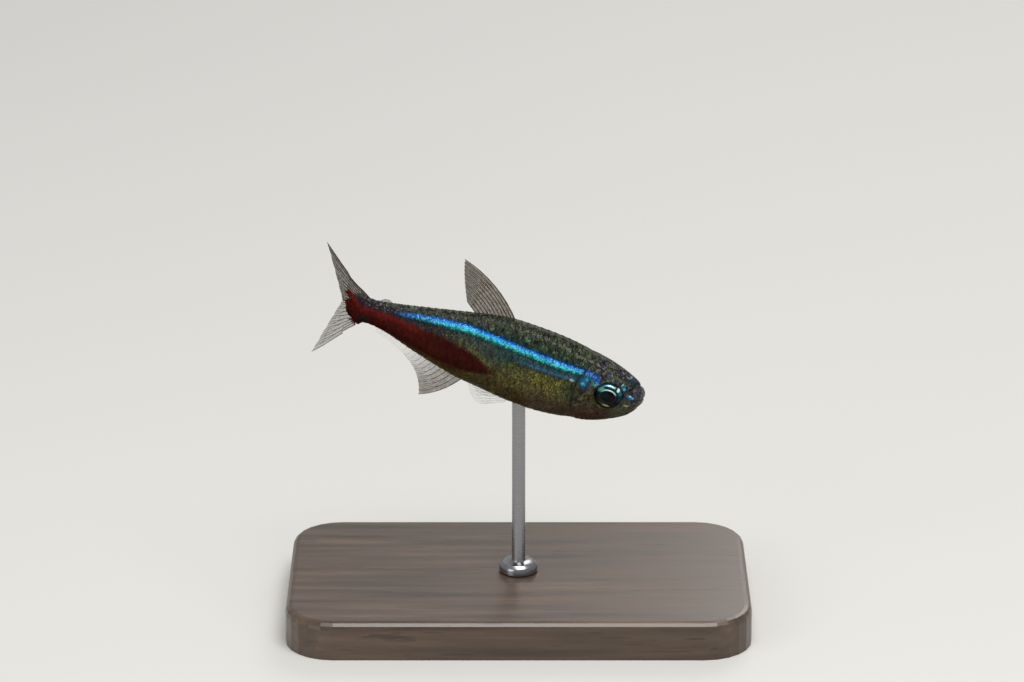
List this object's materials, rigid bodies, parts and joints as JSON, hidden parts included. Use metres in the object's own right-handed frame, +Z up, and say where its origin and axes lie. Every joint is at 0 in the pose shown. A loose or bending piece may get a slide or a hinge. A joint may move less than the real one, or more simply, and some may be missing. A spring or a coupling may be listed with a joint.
{
  "type": "neon tetra",
  "caption": "Life-size model of a small slender tetra with its nose dipped and its forked tail swept aside, held on a thin rod over a flat base with rounded corners.",
  "frame": {"origin": "centre of the underside of the display base", "axes": "+X the way the fish heads, +Y towards the fish's left flank, +Z up"},
  "size_m": [0.038, 0.022, 0.0334],
  "materials": {
    "skin": "moist scaly skin, olive over a silvery belly, with an iridescent blue stripe",
    "red_skin": "moist scaly skin, dark red, with an olive back",
    "eye": "clear and wet over a dark pupil and a bright iris",
    "fin": "clear thin membrane over fine rays",
    "rod": "satin",
    "base": "dark stain, satin"
  },
  "bodies": {
    "root": {"head": "skin", "trunk": "skin", "tail": "red_skin", "eye_right": "eye", "eye_left": "eye", "dorsal_fin": "fin", "adipose_fin": "fin", "anal_fin": "fin", "tail_fin_upper": "fin", "tail_fin_lower": "fin", "pectoral_fin_right": "fin", "pectoral_fin_left": "fin", "pelvic_fin_right": "fin", "pelvic_fin_left": "fin", "stand_rod": "rod", "stand_base": "base"}
  },
  "joints": []
}
